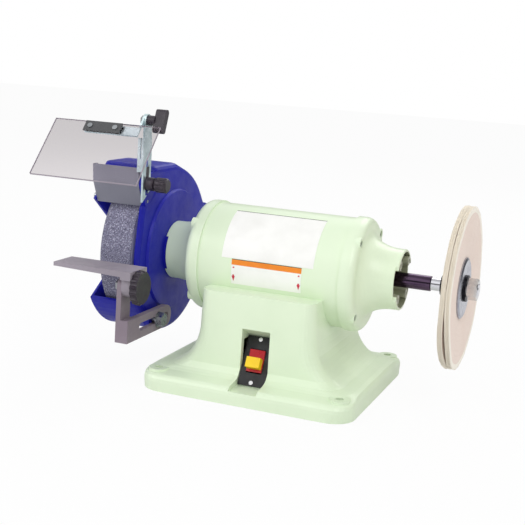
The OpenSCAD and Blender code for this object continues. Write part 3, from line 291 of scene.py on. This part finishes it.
MATS = {
    "casting_paint": enamel("mint enamel", MINT, MINT_SHADE, 0.42),
    "guard_paint": enamel("blue enamel", "14189E", "101284", 0.4, 0.0002, 0.0, 0.25),
    "plate_film": plastic("plate film", "F5F5F2", "EAEAE6", 0.35, 0.00002),
    "spindle_steel": spindle_metal(),
    "bright_steel": steel("bright steel", "E6E6E6", "C6C6C8", 0.16),
    "flange_steel": steel("flange steel", "B6B8C2", "8E909E", 0.2, scratch=0.00001),
    "screw_steel": steel("screw steel", "A9ADB0", "85898C", 0.3),
    "dark_steel": steel("dark steel", "2A2A2E", "1B1B1E", 0.35),
    "abrasive": abrasive("abrasive grain"),
    "buff_cloth": cloth("buff cloth"),
    "knob_plastic": plastic("knob plastic", "2B222E", "1C161F", 0.36),
    "switch_black": plastic("switch black", "1A1A1E", "101013", 0.45),
    "rocker_red": plastic("rocker red", "C4202B", "A5141E", 0.3),
    "key_yellow": plastic("key yellow", "F6CF10", "E5B90A", 0.35),
    "zinc_sheet": steel("zinc sheet", "CFE0E3", "A9BCC0", 0.34),
    "deflector_paint": enamel("grey hammered paint", "7C7D8A", "6E6F7C", 0.42, 0.0003, 0.05),
    "strip_paint": enamel("dark hammered paint", "3A3B3D", "4A4B4E", 0.35, 0.0005),
    "rest_casting": enamel("rest casting paint", "9A929C", "7F7883", 0.5, 0.0006, 0.0),
    "bracket_casting": enamel("bracket casting", "8C7F8A", "766A76", 0.55, 0.0007, 0.0),
    "clear_plastic": clear("clear polycarbonate"),
    "lamination": steel("lamination", "6D7072", "55585A", 0.5),
    "copper": plastic("copper varnish", "A5552A", "7E3E1B", 0.35),
    "cast_aluminium": steel("cast aluminium", "B9BCBB", "9A9D9C", 0.5),
    "bearing_steel": steel("bearing steel", "B4B7B9", "94979A", 0.15),
    "cover_sheet": enamel("cover sheet", "8A8F88", "787D76", 0.45),
}

for sub in frame["record"]["subparts"]:
    obj = NODES[sub["node"]]
    obj.data.materials.clear()
    obj.data.materials.append(MATS[sub["material_slot"]])
    obj.data.shade_smooth()
    obj.data.set_sharp_from_angle(angle=math.radians(28))
# The right end bell's enamel, with painted shade in its open cup.
NODES["right_end_bell"].data.materials[0] = cup_shade_paint(
    "mint enamel with painted cup shade", MINT, MINT_SHADE, "A3A890")


# ---- Mesh helpers ----

def piece(name, verts, faces, mat, body, node_names=(), smooth=30, parts=None):
    """Mesh object that rides on a body; mat may be a list, with parts giving each face's index."""
    me = bpy.data.meshes.new(name)
    me.from_pydata(verts, [], faces)
    for m in mat if isinstance(mat, list) else [mat]:
        me.materials.append(m)
    if parts:
        me.polygons.foreach_set("material_index", parts)
    me.validate()
    bm = bmesh.new()
    bm.from_mesh(me)
    bmesh.ops.recalc_face_normals(bm, faces=bm.faces)
    bm.to_mesh(me)
    bm.free()
    me.shade_smooth()
    me.set_sharp_from_angle(angle=math.radians(smooth))
    obj = bpy.data.objects.new(name, me)
    bpy.context.scene.collection.objects.link(obj)
    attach(obj, body)
    if node_names:
        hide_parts(*node_names)
    return obj


def on_axis(x, r, a):
    """Point at radius r and angle a about the spindle."""
    return (x, r * math.cos(a), AXIS_Z + r * math.sin(a))


def lathe(profile, steps, shift):
    """Closed loop of points revolved about X; shift(d, r, a) gives each point's x and r."""
    verts, faces = [], []
    n = len(profile)
    for i in range(steps):
        a = 2 * math.pi * i / steps
        for d, r in profile:
            verts.append(on_axis(*shift(d, r, a), a))
    for i in range(steps):
        j = (i + 1) % steps
        for k in range(n):
            q = (k + 1) % n
            faces.append((i * n + k, i * n + q, j * n + q, j * n + k))
    return verts, faces


def bent_patch(x0, x1, a0, a1, r0, r1, nx=2, na=16):
    """Thin plate bent about the spindle; angles in degrees above the front level."""
    verts, faces = [], []
    for r in (r0, r1):
        for i in range(na + 1):
            a = math.radians(180 - (a0 + (a1 - a0) * i / na))
            for k in range(nx + 1):
                verts.append(on_axis(x0 + (x1 - x0) * k / nx, r, a))
    w = nx + 1
    m = w * (na + 1)
    for i in range(na):
        for k in range(nx):
            p = i * w + k
            faces.append((m + p, m + p + 1, m + p + w + 1, m + p + w))
            faces.append((p, p + w, p + w + 1, p + 1))
    rim = (list(range(nx)) + [nx + i * w for i in range(na)]
           + [na * w + nx - i for i in range(nx)] + [(na - i) * w for i in range(na)])
    for i, p in enumerate(rim):
        q = rim[(i + 1) % len(rim)]
        faces.append((p, q, m + q, m + p))
    return verts, faces


# ---- Buff ----

BUFF_MID = 0.231
BUFF_R = 0.1016
# Where the two sections stand apart, where their edge is ruffled, and how far round each reaches
SPLAY_AT = math.radians(213)
RUFFLE_AT = math.radians(255)
SPLAY_SPAN = math.radians(20)


def buff_section(name, side, node):
    """One stitched cloth section: plies that show at the rim, and rows of stitches on the face."""
    plies = 9
    # Where the first ply starts, all the plies together, the bore, the flat round it, and a stitch
    rim0, thick = 0.0004, 0.0058
    bore, hub_face = 0.00798, 0.0020
    stitch_half, stitch_deep = 0.0016, 0.00028
    rng = random.Random(11 + side)
    ply_r = [rng.uniform(-0.0009, 0.0) for _ in range(plies)]
    phase = [rng.uniform(0, 6.28) for _ in range(plies)]
    prof, tag = [], []

    def add(d, r, t):
        prof.append((d, r))
        tag.append(t)

    def face_at(r):
        """How far out the face is at radius r, as it swells from the hub."""
        swell = min(1, max(0, (r - 0.040) / 0.033))
        return 0.0059 * swell ** 0.8 + hub_face * (1 - swell)

    rows = [0.047, 0.0535, 0.060, 0.0665, 0.073, 0.0795, 0.086]
    add(0.0, bore, -1)
    add(0.0, 0.046, -1)
    add(rim0 * 0.7, 0.064, -1)
    add(rim0, 0.09, -1)
    for k in range(plies):
        d0 = rim0 + thick * k / plies
        d1 = rim0 + thick * (k + 1) / plies
        add(d0 + 0.00004, BUFF_R - 0.003, k)
        add(d0 + 0.00008, BUFF_R - 0.0004, k)
        add((d0 + d1) / 2, BUFF_R, k)
        add(d1 - 0.00008, BUFF_R - 0.0004, k)
        add(d1 - 0.00004, BUFF_R - 0.003, k)
    add(0.0061, 0.094, -1)
    add(0.0060, 0.090, -1)
    for r in reversed(rows):
        full = face_at(r)
        add(full, r + stitch_half, -1)
        add(full - stitch_deep, r, -1)
        add(full, r - stitch_half, -1)
    add(hub_face, 0.0402, -1)
    add(hub_face, bore, -1)
    tags = itertools.cycle(tag)

    def shift(d, r, a):
        """Waves the face, splays it, and ruffles the plies; called once a point, in order."""
        t = next(tags)
        x = BUFF_MID + side * d
        if r > 0.045:
            far = min(1, (r - 0.045) / 0.05)
            x += side * far * 0.00022 * math.sin(3 * a + 1.3 + side)
            x += 0.00012 * far * math.sin(11 * a + 2 * side)
            x += side * far * far * 0.0014 * math.exp(-((a - SPLAY_AT) / SPLAY_SPAN) ** 2)
        if t >= 0:
            wave = 0.00035 * math.sin(5 * a + phase[t])
            r += ply_r[t] + wave + 0.0002 * math.sin(23 * a + 2 * phase[t])
            ruffle = math.exp(-((a - RUFFLE_AT) / SPLAY_SPAN) ** 2)
            r -= 0.0007 * ruffle * (1 + math.sin(90 * a + 2.1 * t))
            x += 0.0004 * ruffle * math.sin(70 * a + 1.7 * t)
            r = min(r, BUFF_R)
        return x, r

    verts, faces = lathe(prof, 300, shift)
    n = len(prof)
    parts = [1 if tag[k % n] >= 0 else 0 for k in range(len(faces))]
    return piece(name, verts, faces, [MATS["buff_cloth"], EDGE_CLOTH], "rotor",
                 [node], 50, parts)


def edge_cloth():
    """Paler cotton of the frayed rim."""
    m = Mat("buff edge", "FBF5E9", 0.95, 0.0, Sheen_Weight=0.2)
    fray = m.noise(1400, 3, 0.7, stretch=(3, 1, 1))
    m.tint(fray, "F1E6D3", 0.45, 0.75)
    m.bump(fray, 0.0005, 0.8)
    return m.mat


EDGE_CLOTH = edge_cloth()
buff_section("buff_cloth_inner", -1, "buff_inner_section")
buff_section("buff_cloth_outer", 1, "buff_outer_section")


# ---- Plates on the motor ----

def stripe(name, half, a0, a1, mat, lift=0.00006):
    """Printed line across a plate, from angle a0 to a1."""
    verts, faces = bent_patch(-half, half, a0, a1, PRINT_R, PRINT_R + lift)
    return piece(name, verts, faces, mat, "stand")


INK = plastic("dark ink", "3B3E38", "2E302C", 0.5, 0.00001)
ORANGE = plastic("orange ink", "F08A1E", "E67C10", 0.4, 0.00001)
RED = plastic("red ink", "C8163C", "B5112F", 0.4, 0.00001)
stripe("plate_top_line", RATING_HALF, 68.2, 69, INK)
stripe("notice_band", NOTICE_HALF, 3.6, 9.4, ORANGE)
stripe("notice_band_line", NOTICE_HALF, 8.9, 9.5, INK, 0.0001)


def arrow(name, x):
    """Plain arrow that points down, as on the plate under the band."""
    r = 0.07144
    shape = [(-0.0011, 1.6), (0.0011, 1.6), (0.0011, -8.0), (0.0022, -8.0), (0, -13.5),
             (-0.0022, -8.0), (-0.0011, -8.0)]
    verts = []
    for dr in (0, 0.00008):
        for dx, a in shape:
            verts.append(on_axis(x + dx, r + dr, math.radians(180 - a)))
    n = len(shape)
    faces = [tuple(range(n, 2 * n)), tuple(reversed(range(n)))]
    faces += [(i, (i + 1) % n, n + (i + 1) % n, n + i) for i in range(n)]
    return piece(name, verts, faces, RED, "stand")


arrow("notice_arrow_left", -0.0435)
arrow("notice_arrow_right", 0.0435)


# ---- Stage, lights and camera ----

def stage():
    """Floor that the camera sees as near white, and that still bounces light."""
    me = bpy.data.meshes.new("floor")
    s = 8.0
    me.from_pydata([(-s, -s, 0), (s, -s, 0), (s, s, 0), (-s, s, 0)], [], [(0, 1, 2, 3)])
    floor = bpy.data.objects.new("floor", me)
    bpy.context.scene.collection.objects.link(floor)
    floor.location.z = -0.0002
    m = bpy.data.materials.new("floor white")
    m.use_nodes = True
    t = m.node_tree
    t.nodes.clear()
    out = t.nodes.new("ShaderNodeOutputMaterial")
    glow = t.nodes.new("ShaderNodeEmission")
    diffuse = t.nodes.new("ShaderNodeBsdfDiffuse")
    mix = t.nodes.new("ShaderNodeMixShader")
    path = t.nodes.new("ShaderNodeLightPath")
    glow.inputs["Strength"].default_value = 1.0
    diffuse.inputs["Color"].default_value = (0.8, 0.8, 0.8, 1)
    fade = t.nodes.new("ShaderNodeMath")
    fade.operation = "MULTIPLY"
    fade.inputs[1].default_value = 0.93
    t.links.new(path.outputs["Is Camera Ray"], fade.inputs[0])
    t.links.new(fade.outputs[0], mix.inputs["Fac"])
    t.links.new(diffuse.outputs[0], mix.inputs[1])
    t.links.new(glow.outputs[0], mix.inputs[2])
    t.links.new(mix.outputs[0], out.inputs["Surface"])
    me.materials.append(m)


def world():
    """White to the camera, even light for matt surfaces, and bands for metal to reflect."""
    w = bpy.data.worlds.new("studio")
    bpy.context.scene.world = w
    w.use_nodes = True
    t = w.node_tree
    t.nodes.clear()

    def add(kind):
        return t.nodes.new("ShaderNode" + kind)

    out, path, coord = add("OutputWorld"), add("LightPath"), add("TexCoord")
    parts, bands, span = add("SeparateXYZ"), add("ValToRGB"), add("MapRange")
    span.inputs["From Min"].default_value = -1
    t.links.new(coord.outputs["Generated"], parts.inputs[0])
    t.links.new(parts.outputs["Z"], span.inputs["Value"])
    t.links.new(span.outputs["Result"], bands.inputs["Fac"])
    stops = [(0.0, 0.5), (0.47, 0.75), (0.53, 0.22), (0.62, 0.1), (0.68, 0.25), (0.72, 1.0),
             (0.9, 1.0), (1.0, 0.5)]
    els = bands.color_ramp.elements
    while len(els) < len(stops):
        els.new(0.5)
    for e, (p, v) in zip(els, stops):
        e.position = p
        e.color = (v, v, v, 1)
    seen, lit, shiny = add("Background"), add("Background"), add("Background")
    for shader, strength in ((seen, 1.0), (lit, 0.73), (shiny, 1.1)):
        shader.inputs["Color"].default_value = (1, 1, 1, 1)
        shader.inputs["Strength"].default_value = strength
    t.links.new(bands.outputs["Color"], shiny.inputs["Color"])
    clear_ray = add("Math")
    clear_ray.operation = "MAXIMUM"
    t.links.new(path.outputs["Is Camera Ray"], clear_ray.inputs[0])
    t.links.new(path.outputs["Is Transmission Ray"], clear_ray.inputs[1])
    first, second = add("MixShader"), add("MixShader")
    t.links.new(path.outputs["Is Glossy Ray"], first.inputs["Fac"])
    t.links.new(lit.outputs[0], first.inputs[1])
    t.links.new(shiny.outputs[0], first.inputs[2])
    t.links.new(clear_ray.outputs[0], second.inputs["Fac"])
    t.links.new(first.outputs[0], second.inputs[1])
    t.links.new(seen.outputs[0], second.inputs[2])
    t.links.new(second.outputs[0], out.inputs["Surface"])


def lamp(name, at, size, power):
    """Square lamp aimed at the machine's middle."""
    data = bpy.data.lights.new(name, "AREA")
    data.size = size
    data.energy = power
    obj = bpy.data.objects.new(name, data)
    bpy.context.scene.collection.objects.link(obj)
    obj.location = at
    obj.rotation_euler = (Vector((0, 0, 0.1)) - Vector(at)).to_track_quat("-Z", "Y").to_euler()


def camera():
    """Camera fitted to the photograph: its angles, lens and centre in the photograph's pixels."""
    side, focal, centre_x, sensor = 525, 1061.52, 252.86, 36
    yaw, pitch, roll = 0.3653656, 0.1906967, 0.0642591
    cy, sy, cp, sp = math.cos(yaw), math.sin(yaw), math.cos(pitch), math.sin(pitch)
    forward = Vector((-sy * cp, cy * cp, -sp))
    level = Vector((cy, sy, 0))
    rise = level.cross(forward)
    c, s = math.cos(roll), math.sin(roll)
    right = c * level + s * rise
    up = c * rise - s * level
    data = bpy.data.cameras.new("camera")
    data.sensor_width = sensor
    data.lens = focal * sensor / side
    data.shift_x = (side / 2 - centre_x) / side
    data.clip_end = 50
    obj = bpy.data.objects.new("camera", data)
    bpy.context.scene.collection.objects.link(obj)
    m = Matrix((right, up, -forward)).transposed().to_4x4()
    m.translation = Vector((0.4474, -1.2876, AXIS_Z + 0.262))
    obj.matrix_world = m
    bpy.context.scene.camera = obj


camera()
stage()
world()
lamp("key", (1.2, -1.6, 1.9), 1.4, 18)
lamp("fill", (-1.8, -1.4, 1.2), 1.6, 17)
lamp("rim", (0.2, 1.8, 1.8), 1.4, 12)
bpy.context.scene.view_settings.view_transform = "Standard"
